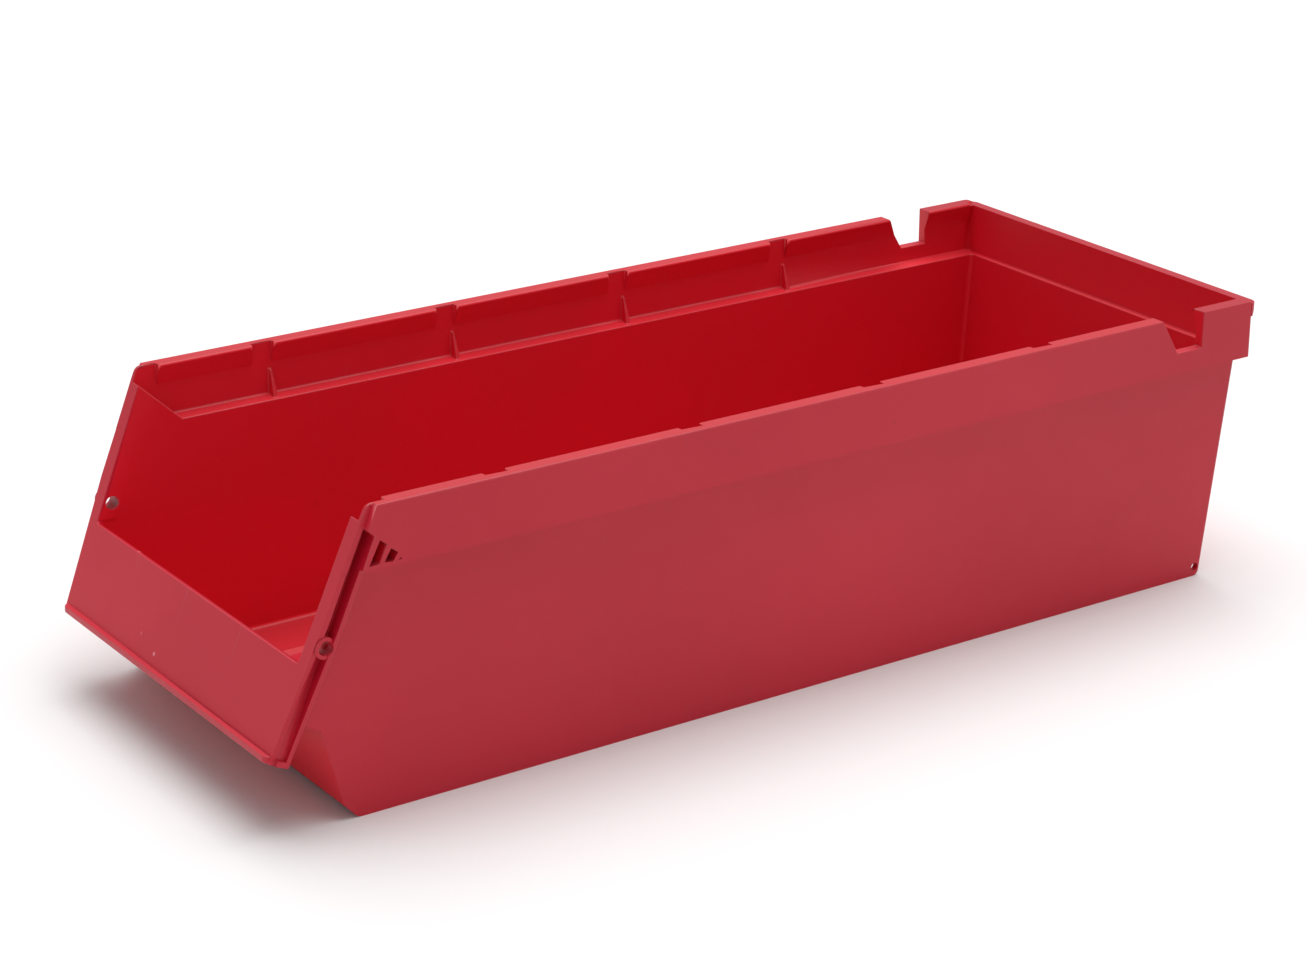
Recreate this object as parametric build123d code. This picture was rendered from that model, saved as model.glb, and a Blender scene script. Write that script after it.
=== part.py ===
from build123d import *
import math
import os

# Open-fronted stacking storage bin, one injection moulding.
# X runs across the bin, the open front faces -Y and the rim is up.
# The origin is under the middle of the bin, on the surface that it stands on.

# Overall size
length = 502.0  # front lip to rear lip
width = 202.0  # over the collar
height = 133.0  # base to rim

# Leaning front, measured from the foot of its face
front_lean = 23.0  # back from upright, in degrees
foot_height = 35.4
lip_reach = 2.0  # lip ahead of the front face
lip_drop = 1.9  # lip below the foot of the front face
lip_height = 3.0
lip_corner = 6.0
panel_top = 71.0
panel_edge = 1.3  # thickness of the panel's top edge
skin = 2.4  # front panel and frame flange

# Frame round the mouth
flange_top_inset = 2.4  # flange edge inside the collar's outer face, at the rim
flange_knee_inset = 4.2
flange_foot_inset = 9.4
knee_height = 88.0
rib_proud = 1.5  # rib edge outside the flange edge
groove_depth = 4.1  # channel between flange and rib, front to back
rib = 2.1  # ribs behind the channel
groove_wall = 3.1  # between the channel's floor and the inside
closing_plate = 2.2
mouth_foot_inset = 5.4  # mouth inside the head of the tub wall, at the panel
mouth_spread = 2.8  # mouth widens by this up to the rim
mouth_corner = 1.5
throat_depth = 25.0  # the mouth narrows over this depth
throat_inset = 1.0
throat_drop = 6.0

# Hollow nose behind the front panel
nose_foot = 32.0  # inner front wall behind the front face's foot
kink_height = 6.5
notch_rise = 14.8  # top of the side opening, up along the front face

# Boss in each channel
boss_rise = 48.0
boss_setback = 4.5
boss_radius = 4.5
boss_bore = 3.0
boss_stop = 4.4  # boss end inside the collar's outer face

# Tub walls
side_step = 7.0  # collar stands out from the side walls
rear_step = 2.0
side_draft = 3.5
rear_draft = 10.6
wall_foot = 2.7
wall_head = 4.8
rear_wall_head = 3.7
tub_corner = 2.0
inner_corner = 2.0

# Collar and its ledge
collar_height = 26.0
collar_corner = 2.0
collar_wall_foot = 5.4
collar_wall_rim = 4.2
collar_rear_wall_foot = 2.8
collar_rear_wall_rim = 1.8
ledge_skin = 1.6
ledge_slope = 1.0
rim_corner = 4.0  # front corner of the rim

# Cored corner where the collar meets the frame
core_reach = 54.7  # tip of the cored triangle behind the front foot
core_lean = 43.6  # slanted top of the pockets, in degrees
core_wall = 3.3
pocket_width = 3.5
pocket_count = 3

# Rim tabs, that the next bin passes between
tab_reach = 7.6  # tab edge inside the collar's outer face
tab_face = 1.5  # upright face of the tab's edge
tab_height = 11.0  # the tab slopes back into the wall over this height
tab_start = 50.0
tab_end_radius = 2.5
tab_edge_radius = 1.0
gap_first = 100.0
gap_pitch = 92.0
gap_width = 10.0
gap_count = 4

# Gussets on the ledge
gusset_setback = 3.6  # behind each gap's middle
gusset_thickness = 2.6
gusset_rise = 11.0
gusset_top = 2.2
seat_clearance = 0.5  # between the gussets and the base of the bin above

# Notch through the collar near the rear
notch_rear = 30.2  # ahead of the collar's rear face
notch_floor = 14.5
notch_lean = 9.5
notch_depth = 16.4

# Rear lip
rear_lip = 3.3
rear_lip_height = 6.0
rear_lip_edge = 1.0
rear_rim_drop = 1.0  # rear rim below the side rims
rear_lip_corner = 5.0

# Base
toe_setback = 6.0  # skirt toe behind the kink
toe_radius = 5.0
floor_height = 4.8
floor_skin = 2.4
pan_drop = 1.8
pan_half_width = 57.5
pan_margin = 12.0  # flat floor ahead of and behind the pan
pan_slope = 1.8
heel_radius = 18.0  # underside of the floor, up into the rear wall
skirt_corner = 5.5  # rear lower corner of the skirts
eye_height = 4.5
eye_setback = 3.5
eye_bore = 2.0

# Places worked out from the sizes above
overrun = 20.0
front_y = -length / 2
rear_y = length / 2
foot_y = front_y + lip_reach
lean_sine = math.sin(math.radians(front_lean))
lean_cosine = math.cos(math.radians(front_lean))
lean_slope = math.tan(math.radians(front_lean))

collar_half = width / 2
collar_base = height - collar_height
ledge_edge = collar_base + ledge_skin
ledge_root = ledge_edge + ledge_slope
tub_head_half = collar_half - side_step
tub_foot_half = tub_head_half - side_draft

collar_rear = rear_y - rear_lip
tub_head_rear = collar_rear - rear_step
tub_foot_rear = tub_head_rear - rear_draft

frame_depth = skin + groove_depth + rib
flange_foot_half = collar_half - flange_foot_inset

kink_y = foot_y + nose_foot
toe_y = kink_y + toe_setback
floor_underside = floor_height - floor_skin

front_face = Plane(
    origin=(0, foot_y, foot_height),
    x_dir=(1, 0, 0),
    z_dir=(0, -lean_cosine, lean_sine),
)


# Linear change of a wall's place with height
def tub_half(z):
    return tub_foot_half + side_draft * z / collar_base


def tub_rear(z):
    return tub_foot_rear + rear_draft * z / collar_base


def wall_at(z):
    return wall_foot + (wall_head - wall_foot) * z / collar_base


def inner_half(z):
    return tub_half(z) - wall_at(z)


def inner_rear(z):
    wall = wall_foot + (rear_wall_head - wall_foot) * z / collar_base
    return tub_rear(z) - wall


def mouth_half(z):
    spread = mouth_spread * (z - panel_top) / (height - panel_top)
    return tub_head_half - mouth_foot_inset + spread


# Point in the YZ plane, so deep behind the front face and so far up along it
def front_point(depth, rise):
    y = foot_y + rise * lean_sine + depth * lean_cosine
    z = foot_height + rise * lean_cosine - depth * lean_sine
    return (y, z)


# How far up the front face lies the height z, at a depth behind it
def rise_at(z, depth):
    return (z - foot_height + depth * lean_sine) / lean_cosine


# Inner front wall: its inner face runs from the floor to the panel's top edge
def nose_inner_y(z):
    foot = kink_y + wall_foot
    top = foot_y + lean_slope * (panel_top - foot_height) + panel_edge
    return foot + (top - foot) * (z - kink_height) / (panel_top - kink_height)


def nose_outer_y(z):
    return nose_inner_y(z) - wall_foot


# Solids from an outline in the side view, the end view or the plan
def side_prism(points, low_x, high_x):
    outline = Plane.YZ.offset(low_x) * Polygon(*points, align=None)
    return extrude(outline, amount=high_x - low_x, dir=(1, 0, 0))


def end_prism(points, low_y, high_y):
    outline = Plane.XZ.offset(-low_y) * Polygon(*points, align=None)
    return extrude(outline, amount=high_y - low_y, dir=(0, 1, 0))


def face_prism(points, near, far):
    outline = front_face.offset(-near) * Polygon(*points, align=None)
    return extrude(outline, amount=far - near, dir=-front_face.z_dir)


# Block that runs ahead of the bin, with drafted sides and rear
def drafted_block(low, high):
    low_z, low_half, low_rear = low
    high_z, high_half, high_rear = high
    ends = [(-low_half, low_z), (low_half, low_z), (high_half, high_z), (-high_half, high_z)]
    block = end_prism(ends, front_y - overrun, rear_y + overrun)
    slope = (high_rear - low_rear) / (high_z - low_z)
    behind = [
        (low_rear - slope * overrun, low_z - overrun),
        (rear_y + length, low_z - overrun),
        (rear_y + length, high_z + overrun),
        (high_rear + slope * overrun, high_z + overrun),
    ]
    return block - full_prism(behind)


# The same block with its two rear corners rounded
def rounded_block(low, high, corner):
    block = drafted_block(low, high)
    rear_face = block.faces().sort_by(Axis.Y)[-1]
    corners = rear_face.edges().filter_by(Axis.X, reverse=True)
    return fillet(corners, corner)


def both_sides(solid):
    return solid + mirror(solid, Plane.YZ)


# Whole width of a side prism
def full_prism(points):
    return side_prism(points, -width, width)


# Outside of the tub, the collar and the frame, cut to the bin's side view
def outer_form():
    low = -overrun
    head = collar_base + ledge_skin / 2
    tub = rounded_block(
        (low, tub_half(low), tub_rear(low)),
        (head, tub_half(head), tub_rear(head)),
        tub_corner,
    )
    collar = rounded_block(
        (collar_base, collar_half, collar_rear),
        (height + overrun, collar_half, collar_rear),
        collar_corner,
    )
    return (tub + collar + frame_plate()) & side_view()


# One layer of the frame, so much wider on both sides than the flange
def frame_layer(near, far, wider):
    levels = [
        (foot_height - 2 * lip_drop, flange_foot_inset),
        (foot_height, flange_foot_inset),
        (knee_height, flange_knee_inset),
        (height + overrun, flange_top_inset),
    ]
    right = [(collar_half - inset + wider, rise_at(z, near)) for z, inset in levels]
    left = [(-x, rise) for x, rise in reversed(right)]
    return face_prism(right + left, near, far)


def frame_plate():
    return frame_layer(0, skin, 0) + frame_layer(skin, frame_depth, rib_proud)


def side_view():
    foot_rise = -lip_drop / lean_cosine
    rim_front = (foot_y + lean_slope * (height - foot_height), height)
    points = [
        front_point(0, foot_rise),
        front_point(frame_depth, foot_rise),
        (kink_y, kink_height),
        (toe_y, 0),
        (tub_foot_rear, 0),
        (tub_rear(collar_base / 2), collar_base / 2),
        (rear_y, collar_base / 2),
        (rear_y, height),
        rim_front,
    ]
    outline = Plane.YZ.offset(-width) * Polygon(*points, align=None)
    toe = outline.vertices().sort_by_distance((-width, toe_y, 0))[0]
    outline = fillet(toe, toe_radius)
    heel = outline.vertices().sort_by_distance((-width, tub_foot_rear, 0))[0]
    outline = fillet(heel, skirt_corner)
    rim = outline.vertices().sort_by_distance((-width, *rim_front))[0]
    outline = fillet(rim, rim_corner)
    return extrude(outline, amount=2 * width, dir=(1, 0, 0))


# Space inside the tub, behind the inner front wall
def tub_space():
    top = height + overrun
    block = drafted_block(
        (floor_height, inner_half(floor_height), inner_rear(floor_height)),
        (top, inner_half(top), inner_rear(top)),
    )
    below = floor_height - overrun
    points = [
        (nose_inner_y(below), below),
        (nose_inner_y(panel_top), panel_top),
        front_point(frame_depth, rise_at(panel_top, frame_depth)),
        front_point(frame_depth, rise_at(top + overrun, frame_depth)),
        (rear_y, top + overrun),
        (rear_y, below),
    ]
    block = block & full_prism(points)
    heel = block.edges().group_by(Axis.Z)[0].filter_by(Axis.X).sort_by(Axis.Y)[-1]
    block = fillet(heel, heel_radius - floor_skin)
    return fillet(block.edges().filter_by(is_moulded_corner), inner_corner)


# Edges of the space inside that the mould rounds: not those above the panel or the rim
def is_moulded_corner(edge):
    middle = edge.center()
    across = edge.geom_type == GeomType.LINE and abs(edge.tangent_at(0).X) > 0.9
    if across:
        return middle.Z < kink_height and middle.Y < 0
    return middle.Z < panel_top or (middle.Y > 0 and middle.Z < height)


# Wider space above the ledge, behind the cored corners
def collar_space():
    top = height + overrun
    wall_change = (collar_wall_foot - collar_wall_rim) / (height - ledge_root)
    side_wall = collar_wall_foot - wall_change * (top - ledge_root)
    wall_change = (collar_rear_wall_foot - collar_rear_wall_rim) / (height - ledge_root)
    rear_wall = collar_rear_wall_foot - wall_change * (top - ledge_root)
    edge = (ledge_edge, inner_half(ledge_edge), inner_rear(ledge_edge))
    root = (ledge_root, collar_half - collar_wall_foot, collar_rear - collar_rear_wall_foot)
    rim = (top, collar_half - side_wall, collar_rear - rear_wall)
    ledge = rounded_block(edge, root, inner_corner)
    collar = rounded_block(root, rim, inner_corner)
    lean = math.radians(core_lean)
    start_y = foot_y + core_reach + core_wall / math.sin(lean)
    reach = 2 * overrun + height - collar_base
    points = [
        (start_y + reach / math.tan(lean), collar_base - reach),
        (start_y - reach / math.tan(lean), collar_base + reach),
        (rear_y, collar_base + reach),
        (rear_y, collar_base - reach),
    ]
    return (ledge + collar) & full_prism(points)


# Mouth above the front panel, narrowing to the tub's own width behind the frame
def mouth_section(depth, low_z, half_at):
    low = rise_at(low_z, depth)
    high = rise_at(height + overrun, depth)
    outline = front_face.offset(-depth) * Polygon(
        (-half_at(low_z), low),
        (half_at(low_z), low),
        (half_at(height + overrun), high),
        (-half_at(height + overrun), high),
        align=None,
    )
    low_corners = outline.vertices().group_by(Axis.Z)[0]
    return fillet(low_corners, mouth_corner)


def throat_half(z):
    return inner_half(z) - throat_inset


def mouth():
    sections = [
        mouth_section(-skin, panel_top, mouth_half),
        mouth_section(throat_depth, panel_top - throat_drop, throat_half),
    ]
    return loft(sections, ruled=True)


# Hollow between the front panel and the inner front wall, open downwards
def nose_space():
    below = -overrun
    block = drafted_block(
        (below, inner_half(below), inner_rear(below)),
        (panel_top, inner_half(panel_top), inner_rear(panel_top)),
    )
    skin_y = front_point(skin, 0)[0]
    skin_z = front_point(skin, 0)[1]
    fall = (nose_outer_y(0) - nose_outer_y(panel_top)) / panel_top
    apex_z = (nose_outer_y(0) - skin_y + lean_slope * skin_z) / (lean_slope + fall)
    points = [
        front_point(skin, -overrun),
        (nose_outer_y(apex_z), apex_z),
        (kink_y, kink_height),
    ]
    return block & full_prism(points)


# Opening through each side wall into the hollow nose
def nose_notch():
    fall = (nose_outer_y(0) - nose_outer_y(panel_top)) / panel_top
    start_y, start_z = front_point(0, notch_rise)
    run = nose_outer_y(start_z) - start_y
    depth = run / (lean_cosine - fall * lean_sine)
    points = [
        front_point(frame_depth, -overrun),
        front_point(frame_depth, notch_rise),
        front_point(depth, notch_rise),
        (kink_y, kink_height),
    ]
    return full_prism(points)


# Slanted line that tops the channel and the cored pockets
def under_slant(low_z):
    lean = math.radians(core_lean)
    tip_y = foot_y + core_reach
    run = overrun + core_reach
    points = [
        (tip_y, collar_base),
        (tip_y - run, collar_base + run * math.tan(lean)),
        (tip_y - run, low_z),
        (tip_y, low_z),
    ]
    return full_prism(points)


# Channel down each side of the frame, with the cored pockets behind it
def channel_slot(near, far, low_rise):
    high_rise = rise_at(height, far)
    low_z = front_point(near, low_rise)[1]
    points = [
        (inner_half(low_z) + groove_wall, low_rise),
        (width, low_rise),
        (width, high_rise),
        (inner_half(height) + groove_wall, high_rise),
    ]
    return face_prism(points, near, far)


def channel():
    low_rise = closing_plate - lip_drop / lean_cosine
    slot = channel_slot(skin, skin + groove_depth, low_rise)
    pockets = []
    for number in range(pocket_count):
        near = frame_depth + number * (pocket_width + rib)
        low_rise = rise_at(ledge_edge, near + pocket_width)
        pockets.append(channel_slot(near, near + pocket_width, low_rise))
    pockets = Part() + pockets
    pockets = pockets & under_slant(ledge_edge)
    return both_sides((slot & under_slant(0)) + pockets)


# Boss across each channel, bored through to the inside
def boss_axis(x):
    y, z = front_point(boss_setback, boss_rise)
    return Pos(x, y, z) * Rot(0, 90, 0)


def boss():
    start = inner_half(knee_height) + groove_wall / 2
    end = collar_half - boss_stop
    middle = (start + end) / 2
    return both_sides(boss_axis(middle) * Cylinder(boss_radius, end - start))


def boss_hole():
    return both_sides(boss_axis(collar_half) * Cylinder(boss_bore, 2 * side_step + overrun))


# Front lip, with rounded corners that run into the closing plates
def front_lip():
    low = foot_height - lip_drop
    depth = lip_reach + skin
    outline = Pos(0, front_y + depth / 2, low) * Rectangle(2 * flange_foot_half, depth)
    front_corners = outline.vertices().group_by(Axis.Y)[0]
    outline = fillet(front_corners, min(lip_corner, 0.9 * depth))
    return extrude(outline, amount=lip_height, dir=(0, 0, 1))


# Rim tabs on both sides, with a gap above each gusset
def rim_tabs():
    root = collar_half - collar_wall_rim / 2
    edge = collar_half - tab_reach
    reach = collar_half - collar_wall_rim - edge
    fall = (tab_height - tab_face) / reach
    points = [
        (root, height),
        (edge, height),
        (edge, height - tab_face),
        (root, height - tab_face - fall * (root - edge)),
    ]
    start = foot_y + tab_start
    end = collar_rear - collar_wall_rim / 2
    bar = end_prism(points, start, end)
    top_edge = bar.edges().filter_by(Axis.Y).sort_by_distance((edge, 0, height))[0]
    bar = fillet(top_edge, tab_edge_radius)
    starts = [start] + [gap_y(i) + gap_width / 2 for i in range(gap_count)]
    ends = [gap_y(i) - gap_width / 2 for i in range(gap_count)] + [end + overrun]
    plans = []
    for low, high in zip(starts, ends):
        outline = Pos((edge + root) / 2, (low + high) / 2)
        outline = outline * RectangleRounded(root - edge, high - low, tab_end_radius * 0.8)
        plans.append(outline)
    return both_sides(bar & extrude(Sketch() + plans, amount=height, dir=(0, 0, 1)))


def gap_y(number):
    return foot_y + gap_first + number * gap_pitch


# Gussets between the ledge and the collar
def gussets():
    root = collar_half - collar_wall_rim / 2
    foot_z = ledge_edge - ledge_skin / 2
    edge = tub_foot_half + seat_clearance
    points = [
        (root, foot_z),
        (edge, foot_z),
        (edge, ledge_root),
        (collar_half - collar_wall_rim - gusset_top, ledge_root + gusset_rise),
        (root, ledge_root + gusset_rise),
    ]
    solids = []
    for number in range(gap_count):
        middle = gap_y(number) + gusset_setback
        low = middle - gusset_thickness / 2
        solids.append(end_prism(points, low, low + gusset_thickness))
    return both_sides(Part() + solids)


# Notch through the collar, ahead of each rear corner
def rim_notch():
    rear = collar_rear - notch_rear
    front = rear - notch_floor
    floor_z = height - notch_depth
    points = [
        (rear, floor_z),
        (front, floor_z),
        (front - notch_lean * (notch_depth + overrun) / notch_depth, height + overrun),
        (rear, height + overrun),
    ]
    inner = collar_half - tab_reach - gusset_top
    return both_sides(side_prism(points, inner, width))


# Lip that flares out along the rear of the rim
def rear_flare():
    top = height - rear_rim_drop
    root_y = collar_rear - collar_rear_wall_rim / 2
    points = [
        (root_y, top),
        (root_y, top - rear_lip_height),
        (collar_rear, top - rear_lip_height),
        (rear_y, top - rear_lip_edge),
        (rear_y, top),
    ]
    flare = side_prism(points, -collar_half, collar_half)
    low = (0, collar_half, rear_y)
    high = (height + overrun, collar_half, rear_y)
    return flare & rounded_block(low, high, rear_lip_corner)


# The rear rim lies lower than the side rims that it runs between
def rear_rim_step():
    half = collar_half - collar_wall_rim
    front = collar_rear - collar_rear_wall_foot - rear_rim_drop
    step = Box(2 * half, overrun, overrun, align=(Align.CENTER, Align.MIN, Align.MIN))
    return Pos(0, front, height - rear_rim_drop) * step


# Shallow pan sunk in the floor, as a tapered block
def pan_block(low, high, grow):
    front = nose_inner_y(floor_height) + pan_margin
    rear = inner_rear(floor_height) - pan_margin
    middle = (front + rear) / 2
    run = rear - front + 2 * grow
    half = pan_half_width + grow
    sections = [
        Pos(0, middle, low) * Rectangle(2 * half, run),
        Pos(0, middle, high) * Rectangle(2 * half + 2 * pan_slope, run + 2 * pan_slope),
    ]
    return loft(sections, ruled=True)


# Space under the floor, between the side skirts and open at the rear
def under_floor():
    half = tub_foot_half - wall_foot
    heel = (tub_rear(floor_underside), floor_underside)
    lift = 2 * heel_radius
    points = [
        (kink_y - toe_setback, -overrun),
        (kink_y - toe_setback, floor_underside),
        heel,
        (tub_rear(floor_underside + lift), floor_underside + lift),
        (rear_y + overrun, floor_underside + lift),
        (rear_y + overrun, -overrun),
    ]
    outline = Plane.YZ.offset(-half) * Polygon(*points, align=None)
    corner = outline.vertices().sort_by_distance((-half, *heel))[0]
    space = extrude(fillet(corner, heel_radius), amount=2 * half, dir=(1, 0, 0))
    pan = pan_block(floor_underside - pan_drop, floor_underside, floor_skin / 2)
    return space - pan


# Hole through the rear corner of each skirt
def eyes():
    axis = Pos(tub_foot_half, tub_foot_rear - eye_setback, eye_height) * Rot(0, 90, 0)
    return both_sides(axis * Cylinder(eye_bore, 4 * wall_foot))


def bin_body():
    body = outer_form()
    body = body + front_lip()
    body = body - tub_space() - collar_space() - mouth()
    body = body - pan_block(floor_height - pan_drop, floor_height, 0)
    body = body - nose_space() - nose_notch()
    body = body - under_floor()
    body = body - channel()
    body = body + boss()
    body = body + rim_tabs() + gussets()
    body = body - rear_rim_step() + rear_flare()
    return body - rim_notch() - boss_hole() - eyes()


os.makedirs("parts", exist_ok=True)
export_step(bin_body(), "parts/bin_body.step")
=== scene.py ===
import bpy, bmesh, math
from mathutils import Matrix, Vector


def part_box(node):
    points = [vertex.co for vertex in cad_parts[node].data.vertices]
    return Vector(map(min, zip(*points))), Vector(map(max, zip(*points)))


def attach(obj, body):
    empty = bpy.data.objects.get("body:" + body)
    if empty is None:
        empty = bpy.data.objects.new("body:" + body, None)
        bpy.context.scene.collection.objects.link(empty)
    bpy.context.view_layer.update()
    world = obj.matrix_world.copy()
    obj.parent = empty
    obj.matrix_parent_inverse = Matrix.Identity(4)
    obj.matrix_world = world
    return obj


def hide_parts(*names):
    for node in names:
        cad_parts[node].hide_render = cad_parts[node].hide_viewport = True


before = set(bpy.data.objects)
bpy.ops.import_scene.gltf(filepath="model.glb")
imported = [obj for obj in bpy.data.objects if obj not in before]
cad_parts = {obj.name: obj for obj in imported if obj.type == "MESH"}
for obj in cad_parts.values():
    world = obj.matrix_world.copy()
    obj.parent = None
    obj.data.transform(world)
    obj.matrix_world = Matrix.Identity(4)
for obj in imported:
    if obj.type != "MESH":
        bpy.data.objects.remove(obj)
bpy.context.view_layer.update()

cadLow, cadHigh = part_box("bin_body")
print("bin_body from CAD:", [round(v, 4) for v in cadLow], [round(v, 4) for v in cadHigh])


# Shader helpers
def newMaterial(name):
    mat = bpy.data.materials.new(name)
    mat.use_nodes = True
    mat.node_tree.nodes.clear()
    return mat, mat.node_tree

def addNode(tree, kind, inputs=None, **settings):
    node = tree.nodes.new(kind)
    for key, value in settings.items():
        setattr(node, key, value)
    for key, value in (inputs or {}).items():
        if isinstance(value, bpy.types.NodeSocket):
            tree.links.new(value, node.inputs[key])
        else:
            node.inputs[key].default_value = value
    return node

def mathNode(tree, operation, a, b=0.0):
    return addNode(tree, "ShaderNodeMath", {0: a, 1: b}, operation=operation).outputs[0]

def times(tree, a, b):
    return mathNode(tree, "MULTIPLY", a, b)

def ramp(tree, value, low, high, toLow=0.0, toHigh=1.0):
    sockets = {"Value": value, "From Min": low, "From Max": high, "To Min": toLow, "To Max": toHigh}
    return addNode(tree, "ShaderNodeMapRange", sockets, clamp=True).outputs["Result"]

# 1 up to the distance full, 0 from the distance gone on
def fadeOut(tree, away, full, gone):
    return ramp(tree, away, full, gone, 1.0, 0.0)

def mixColor(tree, factor, a, b):
    return addNode(tree, "ShaderNodeMix", {0: factor, 6: a, 7: b}, data_type="RGBA").outputs[2]

def noise(tree, place, scale, detail, roughness=0.5):
    sockets = {"Vector": place, "Scale": scale, "Detail": detail, "Roughness": roughness}
    return addNode(tree, "ShaderNodeTexNoise", sockets).outputs["Fac"]

def faceMark(tree, name):
    return addNode(tree, "ShaderNodeAttribute", attribute_name=name).outputs["Fac"]

def splitAxes(tree, vector):
    return addNode(tree, "ShaderNodeSeparateXYZ", {"Vector": vector}).outputs

# Relief on top of the relief that normal already holds
def addBump(tree, height, strength, distance, normal=None):
    sockets = {"Height": height, "Strength": strength, "Distance": distance}
    if normal is not None:
        sockets["Normal"] = normal
    return addNode(tree, "ShaderNodeBump", sockets).outputs["Normal"]


# Red moulded plastic
plastic = {
    "outerRed": (0.555, 0.0026, 0.0230, 1.0),   # the outside
    "litInnerRed": (0.70, 0.0038, 0.0180, 1.0),    # painted light: the inside is painted brighter than the outside
    "paleRed": (0.50, 0.052, 0.068, 1.0),       # edges, partly wear and partly a painted highlight; flow lines
    "darkRed": (0.22, 0.0015, 0.0040, 1.0),     # specks in the resin, darker drift, and the painted shade on the inside floor and rim tops
    "chalk": (0.85, 0.50, 0.52, 1.0),           # fresh scratches
    "dust": (0.50, 0.26, 0.29, 1.0),
    "roughness": (0.42, 0.50),  # it drifts with the tone
    "roughBand": (0.3, 0.7),
    "cloudScale": 7.0,          # slow drift of the tone, cells per metre
    "cloudBand": (0.35, 0.68),  # noise values where it starts and where it is full
    "cloud": 0.16,              # how far it drifts
    "mottleScale": 90.0,
    "mottleBand": (0.58, 0.75),
    "mottle": 0.05,
    "grainScale": 1400.0,       # fine texture
    "grainBump": (0.2, 0.00002),     # strength, depth in metres
    "rippleScale": 55.0,        # slow flow ripple
    "rippleBump": (0.25, 0.00006),
    "speckSpacing": 0.026,
    "speckSize": 0.0006,
    "darkSpecks": (0.55, 0.55),   # cells drawn above this have one, and how strong it is
    "paleSpecks": (0.22, 0.40),   # cells drawn below this, and how strong
    "rubAndHighlight": (0.25, 0.50),        # how pale the edges are, least and most
    "rubAndHighlightBand": (0.3, 0.7),
    "edgeShine": 0.05,          # and how much smoother
    "topBand": (0.6, 0.95),     # Z of the normal where a face starts to count as a top, and is one
    "dustShare": 0.05,          # on the tops
    "floorShade": 0.30,          # painted shade: the floor inside is darker than the walls
    "floorTop": 0.008,
    "rimShade": 0.32,            # painted shade: the rim's tops are darker as well
    "rimFoot": 0.120,
    "flowLines": (-0.0464, -0.0025, 0.0435),   # X of the faint lines on the front panel
    "flowWidth": 0.0009,
    "flowBump": (0.3, 0.0001),
    "flowShare": 0.40,
    "flowFoot": 0.050,          # they fade in from here up
    "panelTop": 0.071,
    "panelBack": -0.2285,
    "scuffs": [(-0.0261, -0.2450, 0.0447), (-0.0122, -0.2466, 0.0411),
               (-0.0497, -0.2330, 0.0706)],
    "scuffSize": 0.0011,
    "scuffBand": (0.42, 0.56),
    "scuffShare": 0.8,
}

# Sparse specks of two kinds
def addSpecks(tree, v, place, tone):
    cells = addNode(tree, "ShaderNodeTexVoronoi", {"Vector": place, "Scale": 1 / v["speckSpacing"]})
    away = times(tree, cells.outputs["Distance"], v["speckSpacing"])
    speck = fadeOut(tree, away, v["speckSize"] * 0.5, v["speckSize"])
    draw = splitAxes(tree, cells.outputs["Color"])["X"]
    for test, kind, color in (("GREATER_THAN", "darkSpecks", v["darkRed"]),
                              ("LESS_THAN", "paleSpecks", v["chalk"])):
        limit, strength = v[kind]
        chosen = times(tree, speck, mathNode(tree, test, draw, limit))
        tone = mixColor(tree, times(tree, chosen, strength), tone, color)
    return tone

# Faint flow lines down the front panel
def flowLines(tree, v, axes):
    lines = 0.0
    for x in v["flowLines"]:
        away = mathNode(tree, "ABSOLUTE", mathNode(tree, "SUBTRACT", axes["X"], x))
        lines = mathNode(tree, "ADD", fadeOut(tree, away, 0.0, v["flowWidth"]), lines)
    ahead = ramp(tree, axes["Y"], v["panelBack"], v["panelBack"] - 0.001)
    onPanel = times(tree, ramp(tree, axes["Z"], v["flowFoot"], v["panelTop"]), ahead)
    return times(tree, lines, onPanel)

# Scuffs on the panel, broken up by the mottle
def panelScuffs(tree, v, place, mottle):
    scuff = 0.0
    for spot in v["scuffs"]:
        gap = addNode(tree, "ShaderNodeVectorMath", {0: place, 1: spot}, operation="DISTANCE")
        mark = fadeOut(tree, gap.outputs["Value"], v["scuffSize"] * 0.4, v["scuffSize"])
        scuff = mathNode(tree, "ADD", mark, scuff)
    return times(tree, scuff, ramp(tree, mottle, *v["scuffBand"]))

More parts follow.
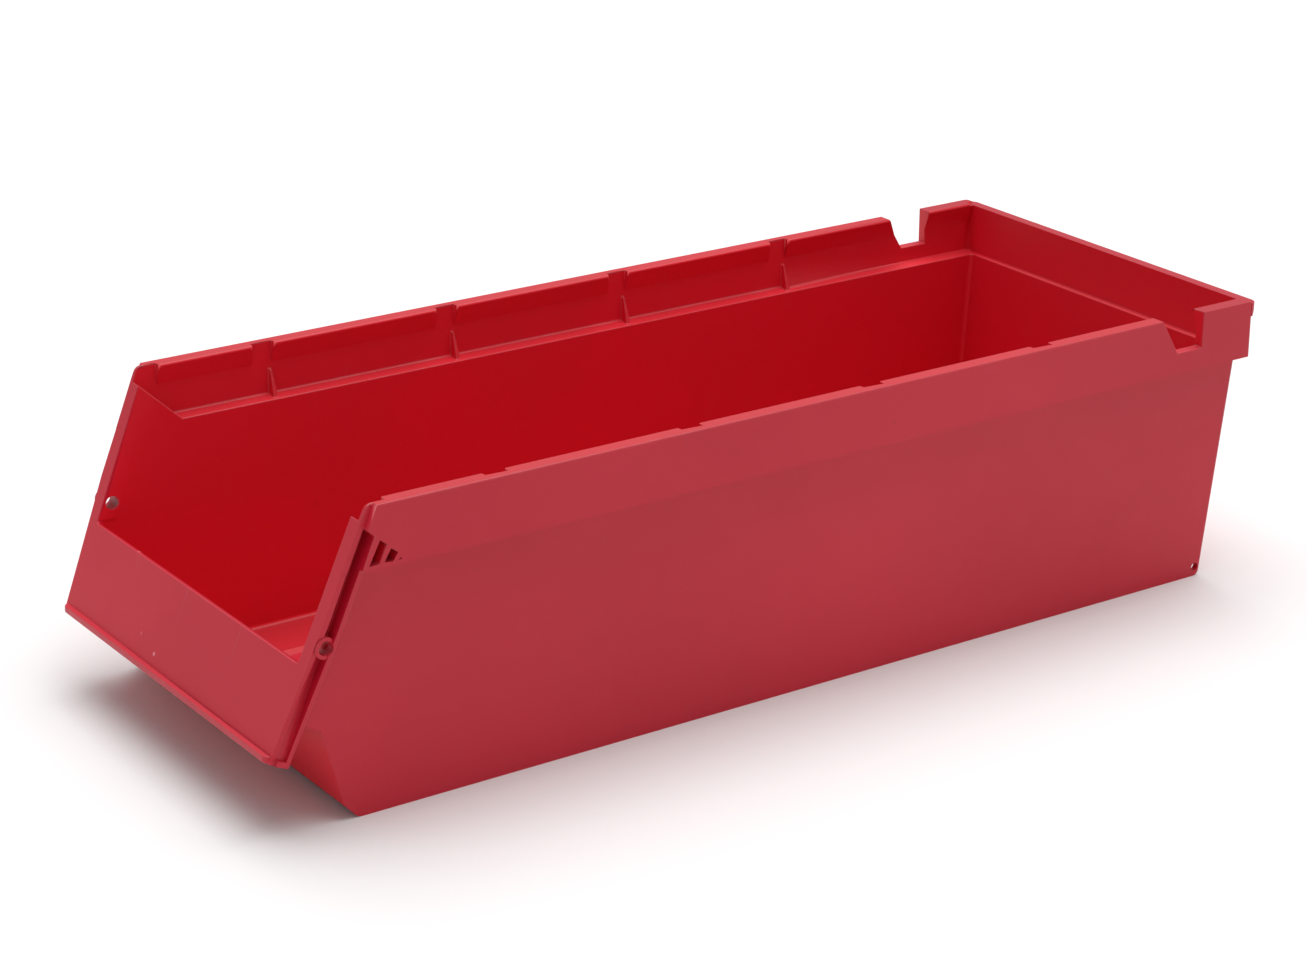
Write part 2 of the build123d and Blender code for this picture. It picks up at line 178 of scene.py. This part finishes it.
def makePlastic(v):
    mat, tree = newMaterial("binPlastic")
    coords = addNode(tree, "ShaderNodeTexCoord").outputs
    place = coords["Object"]
    axes = splitAxes(tree, place)
    inner, edge = faceMark(tree, "inner"), faceMark(tree, "rubbedAndHighlit")
    cloud = noise(tree, place, v["cloudScale"], 4.0, 0.6)
    mottle = noise(tree, place, v["mottleScale"], 3.0)
    grain = noise(tree, place, v["grainScale"], 2.0)
    ripple = noise(tree, place, v["rippleScale"], 1.0)

    # painted light: the inside faces get a brighter red than the outside
    tone = mixColor(tree, inner, v["outerRed"], v["litInnerRed"])
    tone = mixColor(tree, ramp(tree, cloud, *v["cloudBand"], 0.0, v["cloud"]), tone, v["darkRed"])
    paler = ramp(tree, mottle, *v["mottleBand"], 0.0, v["mottle"])
    tone = mixColor(tree, paler, tone, v["paleRed"])
    tone = addSpecks(tree, v, place, tone)
    lines = flowLines(tree, v, axes)
    tone = mixColor(tree, times(tree, lines, v["flowShare"]), tone, v["paleRed"])
    scuff = panelScuffs(tree, v, place, mottle)
    tone = mixColor(tree, times(tree, scuff, v["scuffShare"]), tone, v["chalk"])
    # partly wear, partly painted highlight: the rounded edges go paler and pinker
    wornAndHighlit = times(tree, edge, ramp(tree, mottle, *v["rubAndHighlightBand"], *v["rubAndHighlight"]))
    tone = mixColor(tree, wornAndHighlit, tone, v["paleRed"])

    # what faces up: painted shade on the inside floor and on the rim's tops, and a little dust on
    # everything
    onTop = ramp(tree, splitAxes(tree, coords["Normal"])["Z"], *v["topBand"])
    low = ramp(tree, axes["Z"], v["floorTop"], v["floorTop"] - 0.001)
    onFloor = times(tree, low, times(tree, onTop, inner))
    onRim = times(tree, ramp(tree, axes["Z"], v["rimFoot"], v["rimFoot"] + 0.004), onTop)
    # painted shade: the inside floor goes darker
    tone = mixColor(tree, times(tree, onFloor, v["floorShade"]), tone, v["darkRed"])
    # painted shade: the rim's tops go darker
    tone = mixColor(tree, times(tree, onRim, v["rimShade"]), tone, v["darkRed"])
    tone = mixColor(tree, times(tree, onTop, v["dustShare"]), tone, v["dust"])

    rough = ramp(tree, cloud, *v["roughBand"], *v["roughness"])
    rough = mathNode(tree, "SUBTRACT", rough, times(tree, edge, v["edgeShine"]))
    relief = addBump(tree, grain, *v["grainBump"])
    relief = addBump(tree, ripple, *v["rippleBump"], relief)
    relief = addBump(tree, lines, *v["flowBump"], relief)
    sockets = {"Base Color": tone, "Roughness": rough, "IOR": 1.49, "Normal": relief}
    shader = addNode(tree, "ShaderNodeBsdfPrincipled", sockets)
    addNode(tree, "ShaderNodeOutputMaterial", {"Surface": shader.outputs["BSDF"]})
    print("binPlastic:", len(tree.nodes), "nodes")
    return mat

binPlastic = makePlastic(plastic)


# The bin: where its solid has its features, in metres
solid = {
    "weld": 0.00002,                 # points closer than this are one
    "flatAngle": 0.6,                # faces that meet flatter than this, in degrees, are one
    "match": 0.0001,                 # how well a point has to lie on a feature
    "level": 0.002,                  # an edge that climbs less than this is level
    "frontFoot": (-0.249, 0.0354),   # Y and Z at the foot of the leaning face
    "lean": 23.0,
    "knee": 0.088,                   # the flange of the frame tapers from here up
    "flangeReach": 0.0035,           # and is this deep
    "collarFoot": 0.1065,
    "collarFace": 0.0975,            # the collar's outer faces lie beyond this X
    "pocketWall": 0.0918,            # the cored pockets lie beyond this X
    "pocketFoot": 0.1080,
    "pocketBase": 0.10997,
    "pocketDepths": (0.0023, 0.0182),    # front of the first pocket, back of the last
    "pocketSlant": (0.378, 0.09571),     # fall per depth of their slanted tops, rise at the face
    "pocketCorners": (0.0121, 0.0177),   # depths of the corners that reach the floor
    "gussetX": (0.0895, 0.0968),
    "gussetZ": (0.1085, 0.1215),
    "gussetMiddles": (-0.1454, -0.0534, 0.0386, 0.1306),
    "gussetHalf": 0.00135,           # no point of a gusset is farther from its middle
    "gussetBase": 0.1096,
    "gussetRise": 0.011,
    "rimHeight": 0.1325,
    "ledgeZ": (0.1065, 0.1105),
    "panX": 0.0872,
    "panZ": 0.0072,
    "boss": (-0.2261, 0.0778),       # Y and Z, the same for the eye
    "bossX": 0.085,
    "bossReach": 0.0062,
    "eye": (0.2316, 0.0045),
    "eyeReach": 0.0040,
    "rearLip": (0.2400, 0.120),      # behind this Y, above this Z
    "rearCorner": (0.090, 0.105, 0.112),     # beyond this X, between these heights
    "frontLip": (0.0904, -0.243, 0.0345),    # beyond this X, ahead of this Y, below this Z
    "innerHalf": (0.0885, 0.0025, 0.107),    # half width at the floor, what it gains, up to this Z
    "collarHalf": 0.0968,
    "innerRear": 0.2468,
    "innerDepth": 0.0030,            # behind the leaning face
    "innerFoot": 0.0031,
    "innerFacing": (0.2, 0.3),       # Z and Y of the normals that count as facing in
    "plainX": 0.0895,                # inside this X and below this Z no edge is paled
    "plainZ": 0.008,
}

# What the moulding gets on top of that
moulding = {
    "flangeSkin": 0.0024,
    "flangeStep": 0.0008,            # the collar steps out over this depth behind the flange
    "rimInset": 0.0024,              # flange edge inside the collar's face, at the rim
    "kneeInset": 0.0042,             # and at the knee
    "pocketTop": 0.0020,             # the slanted tops go this much higher
    "pocketFloor": 0.1086,
    "pocketFixed": 0.008,            # up to this depth no pocket moves back
    "pocketShift": (0.0086, 0.0089),     # behind it, this depth goes to that one
    "pocketSpread": 1.08,                # and the rest spreads from there
    "lastPocket": [(-0.1962, 0.1087), (-0.1950, 0.1100), (-0.1939, 0.1090)],   # Y and Z
    "lastPocketDepth": 0.006,
    "gussetFoot": 0.8,               # gusset thickness as a share of the solid's
    "gussetHead": 0.4,
    "edgeAngle": 37.0,               # edges sharper than this are rounded
    "tangent": 145.0,                # edges that meet flatter than this run on into each other
    "straight": 160.0,               # and these leave each other all the room
    "rimRadius": 0.0009,
    "ledgeRadius": 0.0008,
    "edgeRadius": 0.0005,
    "panRadius": 0.00015,
    "leastRadius": 0.00004,
    "endShare": 0.42,                # a radius takes this share of the edge beside it
    "gapShare": 0.4,                 # this share of the way to the next rounded edge
    "flatShare": 0.8,                # and this one to the next plain edge
    "nextEdges": 7,                  # so many short edges in a row may be steps of one arc
    "shortEdge": 0.0016,
    "shortStep": 0.0009,
    "segments": 3,
    "smoothAngle": 42.0,
    "flatWeight": 80,                # how much the flat faces rule the shading
}

def putInScene(name, data):
    piece = bpy.data.objects.new(name, data)
    bpy.context.scene.collection.objects.link(piece)
    return piece

def applyModifiers(piece):
    graph = bpy.context.evaluated_depsgraph_get()
    mesh = bpy.data.meshes.new_from_object(piece.evaluated_get(graph))
    piece.modifiers.clear()
    piece.data = mesh
    return mesh

# Depth behind the leaning front face, and rise along it
def depthAndRise(co):
    lean = math.radians(solid["lean"])
    ahead, up = co.y - solid["frontFoot"][0], co.z - solid["frontFoot"][1]
    return (ahead * math.cos(lean) - up * math.sin(lean),
            ahead * math.sin(lean) + up * math.cos(lean))

def fromDepthAndRise(depth, rise):
    lean = math.radians(solid["lean"])
    return (solid["frontFoot"][0] + rise * math.sin(lean) + depth * math.cos(lean),
            solid["frontFoot"][1] + rise * math.cos(lean) - depth * math.sin(lean))

# The flange's taper runs on up past the collar's base
def trimFlange(body, v):
    lean = math.radians(solid["lean"])
    normal = Vector((0, math.cos(lean), -math.sin(lean)))
    face, foot = solid["collarFace"], solid["collarFoot"]
    def onFlange(f):
        return (any(abs(p.co.x) > face and p.co.z > foot for p in f.verts)
                and any(depthAndRise(p.co)[0] < solid["flangeReach"] for p in f.verts))
    for depth in (v["flangeSkin"], v["flangeSkin"] + v["flangeStep"]):
        faces = [f for f in body.faces if onFlange(f)]
        points = {p for f in faces for p in f.verts}
        edges = {e for f in faces for e in f.edges}
        y, z = fromDepthAndRise(depth, 0.09)   # any rise gives the same plane
        bmesh.ops.bisect_plane(body, geom=list(points) + list(edges) + faces,
                               dist=solid["weld"] / 2, plane_co=(0, y, z), plane_no=normal)
    for p in body.verts:
        if p.co.z < solid["knee"] or depthAndRise(p.co)[0] > v["flangeSkin"] + solid["match"] / 2:
            continue
        share = (cadHigh.z - p.co.z) / (cadHigh.z - solid["knee"])
        half = cadHigh.x - v["rimInset"] - (v["kneeInset"] - v["rimInset"]) * share
        if abs(p.co.x) > half:
            p.co.x = math.copysign(half, p.co.x)

# The cored pockets reach a little higher and further back
def fitPockets(body, v):
    near, far = solid["pocketDepths"]
    fall, top = solid["pocketSlant"]
    fromDepth, toDepth = v["pocketShift"]
    for p in body.verts:
        depth, rise = depthAndRise(p.co)
        atWall = abs(p.co.x) >= solid["pocketWall"] and p.co.z >= solid["pocketFoot"]
        if not atWall or not near <= depth <= far:
            continue
        slant = abs(rise + fall * depth - top) < solid["match"] * 1.5
        low = abs(p.co.z - solid["pocketBase"]) < solid["match"]
        atCorner = min(abs(depth - d) for d in solid["pocketCorners"]) < solid["match"]
        corner = abs(p.co.z - v["pocketFloor"]) < solid["match"] and atCorner
        if not (slant or low or corner):
            continue
        if slant:
            rise += v["pocketTop"]
        if depth > v["pocketFixed"]:
            depth = toDepth + (depth - fromDepth) * v["pocketSpread"]
        p.co.y, p.co.z = fromDepthAndRise(depth, rise)
        if low or corner:
            p.co.y += (v["pocketFloor"] - p.co.z) * math.tan(math.radians(solid["lean"]))
            p.co.z = v["pocketFloor"]

# Each gusset thins towards its head
def thinGussets(body, v):
    low, high = solid["gussetX"]
    foot, head = solid["gussetZ"]
    for p in body.verts:
        if not low <= abs(p.co.x) <= high or not foot < p.co.z < head:
            continue
        for middle in solid["gussetMiddles"]:
            if abs(p.co.y - middle) < solid["gussetHalf"]:
                share = min(max((p.co.z - solid["gussetBase"]) / solid["gussetRise"], 0), 1)
                scale = v["gussetFoot"] + (v["gussetHead"] - v["gussetFoot"]) * share
                p.co.y = middle + (p.co.y - middle) * scale

# A three-sided prism in each side, for the smallest pocket
def pocketCutter(v):
    cutter = bmesh.new()
    for side in (-1, 1):
        near = side * (cadHigh.x + 0.001)   # starts outside the flange, so the cut is clean
        far = side * (cadHigh.x - v["lastPocketDepth"])
        ring = [cutter.verts.new((near, y, z)) for y, z in v["lastPocket"]]
        back = [cutter.verts.new((far, y, z)) for y, z in v["lastPocket"]]
        cutter.faces.new(ring)
        cutter.faces.new(back)
        for i in range(3):
            j = (i + 1) % 3
            cutter.faces.new((ring[i], ring[j], back[j], back[i]))
    bmesh.ops.recalc_face_normals(cutter, faces=cutter.faces)
    mesh = bpy.data.meshes.new("pocketCutter")
    cutter.to_mesh(mesh)
    cutter.free()
    return putInScene("pocketCutter", mesh)

def cutLastPocket(piece, v):
    cutter = pocketCutter(v)
    cut = piece.modifiers.new("lastPocket", "BOOLEAN")
    cut.object = cutter
    cut.solver = "EXACT"
    applyModifiers(piece)
    bpy.data.objects.remove(cutter)

def middleOf(edge):
    return (edge.verts[0].co + edge.verts[1].co) / 2

def wantedRadius(v, edge):
    middle = middleOf(edge)
    level = abs(edge.verts[0].co.z - edge.verts[1].co.z) < solid["level"]
    if middle.z > solid["rimHeight"]:
        return v["rimRadius"]
    if middle.z < solid["panZ"] and abs(middle.x) < solid["panX"]:
        return v["panRadius"]
    if solid["ledgeZ"][0] < middle.z < solid["ledgeZ"][1] and level:
        return v["ledgeRadius"]
    return v["edgeRadius"]

# The bosses, the eyes, the rear lip and the corners beside the lips keep the CAD's own edges
def keepsItsEdge(middle):
    side, across = Vector((0, middle.y, middle.z)), abs(middle.x)
    fromBoss = (side - Vector((0, *solid["boss"]))).length
    fromEye = (side - Vector((0, *solid["eye"]))).length
    atBoss = fromBoss < solid["bossReach"] and across > solid["bossX"]
    atEye = fromEye < solid["eyeReach"]
    atLip = middle.y > solid["rearLip"][0] and middle.z > solid["rearLip"][1]
    wide, low, high = solid["rearCorner"]
    atCorner = middle.y > solid["rearLip"][0] and low < middle.z < high and across > wide
    wide, ahead, head = solid["frontLip"]
    atFrontLip = middle.y < ahead and middle.z < head and across > wide
    return atBoss or atEye or atLip or atCorner or atFrontLip

# Angle between two edges that meet at a vertex
def turnAt(end, a, b):
    one, other = a.other_vert(end).co - end.co, b.other_vert(end).co - end.co
    return math.degrees(one.angle(other, 0.0))

# An edge that fades out into a smooth one can't be rounded cleanly, so its run is left out
def dropFadingEdges(sharp, v):
    while True:
        fading = set()
        for edge in sharp:
            for end in edge.verts:
                onward = [o for o in end.link_edges
                          if o is not edge and turnAt(end, edge, o) > v["tangent"]]
                if onward and not any(o in sharp for o in onward):
                    fading.add(edge)
        if not fading:
            return
        sharp -= fading

# Distance between two edges of one flat face
def gapBetween(a, b):
    near = 1.0
    for one, other in ((a, b), (b, a)):
        start, run = one.verts[0].co, one.verts[1].co - one.verts[0].co
        for p in other.verts:
            share = min(max((p.co - start).dot(run) / run.length_squared, 0.0), 1.0)
            near = min(near, (p.co - start - run * share).length)
    return near

# Largest radius before the rounding eats up the edges at both ends
def roomAtEnds(v, edge, sharp):
    room = 1.0
    for end in edge.verts:
        for other in end.link_edges:
            turn = turnAt(end, edge, other)
            if other is edge or turn >= v["straight"]:
                continue
            angle = math.radians(turn)
            share = math.tan(angle / 2) if turn < 90 or other in sharp else math.sin(angle)
            room = min(room, v["endShare"] * other.calc_length() * min(share, 1.0))
    return room

# Largest radius before it meets another edge across a face
def roomAcross(v, edge, sharp):
    room = 1.0
    for face in edge.link_faces:
        ring = list(face.edges)
        at, count = ring.index(edge), len(ring)
        beside = min(ring[(at + 1) % count].calc_length(), ring[at - 1].calc_length())
        for step, other in enumerate(ring):
            apart = min((step - at) % count, (at - step) % count)
            short = max(edge.calc_length(), other.calc_length()) < v["shortEdge"]
            sameArc = apart < v["nextEdges"] and (short or beside < v["shortStep"])
            if apart < 2 or sameArc:
                continue
            share = v["gapShare"] if other in sharp else v["flatShare"]
            room = min(room, share * gapBetween(edge, other))
    return room

# Radius of each moulded edge, as a weight for the bevel
def setEdgeRadii(body, v):
    weights = body.edges.layers.float
    layer = weights.get("bevel_weight_edge") or weights.new("bevel_weight_edge")
    limit = math.radians(v["edgeAngle"])
    sharp = {e for e in body.edges if len(e.link_faces) == 2 and e.calc_face_angle(0) > limit
             and not keepsItsEdge(middleOf(e))}
    dropFadingEdges(sharp, v)
    for edge in sharp:
        radius = min(wantedRadius(v, edge), roomAtEnds(v, edge, sharp), roomAcross(v, edge, sharp))
        edge[layer] = max(radius, v["leastRadius"]) / v["rimRadius"]
    return len(sharp)

def roundEdges(piece, v):
    mesh = piece.data
    body = bmesh.new()
    body.from_mesh(mesh)
    count = setEdgeRadii(body, v)
    body.to_mesh(mesh)
    body.free()
    mesh.materials.clear()
    mesh.materials.append(binPlastic)
    mesh.materials.append(binPlastic)   # second slot only marks the rounded edges
    soft = piece.modifiers.new("mouldedEdges", "BEVEL")
    soft.width = v["rimRadius"]
    soft.segments = v["segments"]
    soft.limit_method = "WEIGHT"
    soft.use_clamp_overlap = False
    soft.material = 1
    mesh = applyModifiers(piece)
    for p in mesh.vertices:   # a rounded corner never stands outside the solid's box
        p.co = [min(max(at, low), high) for at, low, high in zip(p.co, cadLow, cadHigh)]
    return count

# Faces of the inside, which the plastic paints brighter, as painted light
def markInner(mesh):
    data = mesh.attributes.new("inner", "FLOAT", "FACE").data
    foot, gain, height = solid["innerHalf"]
    up, along = solid["innerFacing"]
    for face in mesh.polygons:
        centre, normal = face.center, face.normal
        half = foot + gain * centre.z / height
        if centre.z > solid["collarFoot"]:
            half = solid["collarHalf"]
        behind = depthAndRise(centre)[0] > solid["innerDepth"] and centre.y < solid["innerRear"]
        inside = behind and abs(centre.x) < half and centre.z > solid["innerFoot"]
        acrossIn = normal.x * centre.x < -solid["match"]
        facing = normal.z > up or abs(normal.y) > along or acrossIn
        data[face.index].value = 1.0 if inside and facing else 0.0

# Faces of the rounded edges, which the plastic makes paler: partly wear, partly a painted highlight
def markRubbedAndHighlit(mesh):
    data = mesh.attributes.new("rubbedAndHighlit", "FLOAT", "FACE").data
    for face in mesh.polygons:
        onPan = face.center.z < solid["plainZ"] and abs(face.center.x) < solid["plainX"]
        data[face.index].value = 0.0 if onPan else float(face.material_index)
        face.material_index = 0
    mesh.materials.clear()
    mesh.materials.append(binPlastic)

def smoothFaces(piece, v):
    piece.data.shade_smooth()
    piece.data.set_sharp_from_angle(angle=math.radians(v["smoothAngle"]))
    weighted = piece.modifiers.new("flatFaces", "WEIGHTED_NORMAL")
    weighted.weight = v["flatWeight"]
    weighted.keep_sharp = True

def makeMoulding(v):
    body = bmesh.new()
    body.from_mesh(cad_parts["bin_body"].data)
    bmesh.ops.remove_doubles(body, verts=body.verts, dist=solid["weld"])
    bmesh.ops.dissolve_limit(body, angle_limit=math.radians(solid["flatAngle"]),
                             verts=body.verts, edges=body.edges)
    trimFlange(body, v)
    fitPockets(body, v)
    thinGussets(body, v)
    mesh = bpy.data.meshes.new("binMoulding")
    body.to_mesh(mesh)
    body.free()
    print("binMoulding: flange trimmed, pockets and gussets fitted,", len(mesh.polygons), "faces")

    piece = putInScene("binMoulding", mesh)
    cutLastPocket(piece, v)
    count = roundEdges(piece, v)
    markInner(piece.data)
    markRubbedAndHighlit(piece.data)
    smoothFaces(piece, v)
    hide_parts("bin_body")
    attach(piece, "root")
    print("binMoulding:", count, "moulded edges,", len(piece.data.polygons), "faces")

makeMoulding(moulding)


# Floor
studioFloor = {
    "size": 14.0,
    "colour": (0.80, 0.80, 0.80, 1.0),
    "fibreScale": 400.0,
    "fibreBand": (0.3, 0.7),
    "roughness": (0.85, 0.95),
    "gloss": 0.1,
}

def makeFloor(v):
    half = v["size"] / 2
    mesh = bpy.data.meshes.new("studioFloor")
    corners = [(-half, -half, 0), (half, -half, 0), (half, half, 0), (-half, half, 0)]
    mesh.from_pydata(corners, [], [(0, 1, 2, 3)])
    floor = putInScene("studioFloor", mesh)
    mat, tree = newMaterial("palePaper")
    place = addNode(tree, "ShaderNodeTexCoord").outputs["Object"]
    fibre = noise(tree, place, v["fibreScale"], 2.0)
    rough = ramp(tree, fibre, *v["fibreBand"], *v["roughness"])
    sockets = {"Base Color": v["colour"], "Roughness": rough, "Specular IOR Level": v["gloss"]}
    shader = addNode(tree, "ShaderNodeBsdfPrincipled", sockets)
    addNode(tree, "ShaderNodeOutputMaterial", {"Surface": shader.outputs["BSDF"]})
    mesh.materials.append(mat)
    print("studioFloor:", v["size"], "m wide")

makeFloor(studioFloor)


# Soft studio light
studio = {
    "sky": 0.45,
    "boxPlace": (-0.25, 0.45, 3.6),   # a soft box high up, aimed at the middle of the floor
    "boxSize": 3.6,
    "boxWatts": 158.0,
}

def makeStudio(v):
    world = bpy.data.worlds.new("studioWorld")
    world.use_nodes = True
    bpy.context.scene.world = world
    back = world.node_tree.nodes["Background"]
    back.inputs["Color"].default_value = (1.0, 1.0, 1.0, 1.0)
    back.inputs["Strength"].default_value = v["sky"]
    data = bpy.data.lights.new("topBox", "AREA")
    data.shape = "SQUARE"
    data.size = v["boxSize"]
    data.energy = v["boxWatts"]
    lamp = putInScene("topBox", data)
    lamp.location = v["boxPlace"]
    lamp.rotation_euler = (-Vector(v["boxPlace"])).to_track_quat("-Z", "Y").to_euler()
    bpy.context.scene.view_settings.view_transform = "Standard"
    print("topBox:", v["boxWatts"], "W, sky", v["sky"])

makeStudio(studio)


# Camera at the photograph's angle
viewpoint = {
    "place": (1.10308, -0.76374, 0.57529),
    "turn": 55.647,   # degrees about Z
    "down": 20.876,
    "roll": 0.089,
    "lens": 89.92,
}

def makeCamera(v):
    data = bpy.data.cameras.new("photoCamera")
    data.lens = v["lens"]
    data.sensor_width = 36.0
    data.sensor_fit = "HORIZONTAL"
    data.clip_end = 50.0
    cam = putInScene("photoCamera", data)
    turn = Matrix.Rotation(math.radians(v["turn"]), 4, "Z")
    tilt = Matrix.Rotation(math.radians(90 - v["down"]), 4, "X")
    roll = Matrix.Rotation(math.radians(v["roll"]), 4, "Z")
    cam.matrix_world = Matrix.Translation(v["place"]) @ turn @ tilt @ roll
    bpy.context.scene.camera = cam
    print("photoCamera:", v["lens"], "mm lens")

makeCamera(viewpoint)
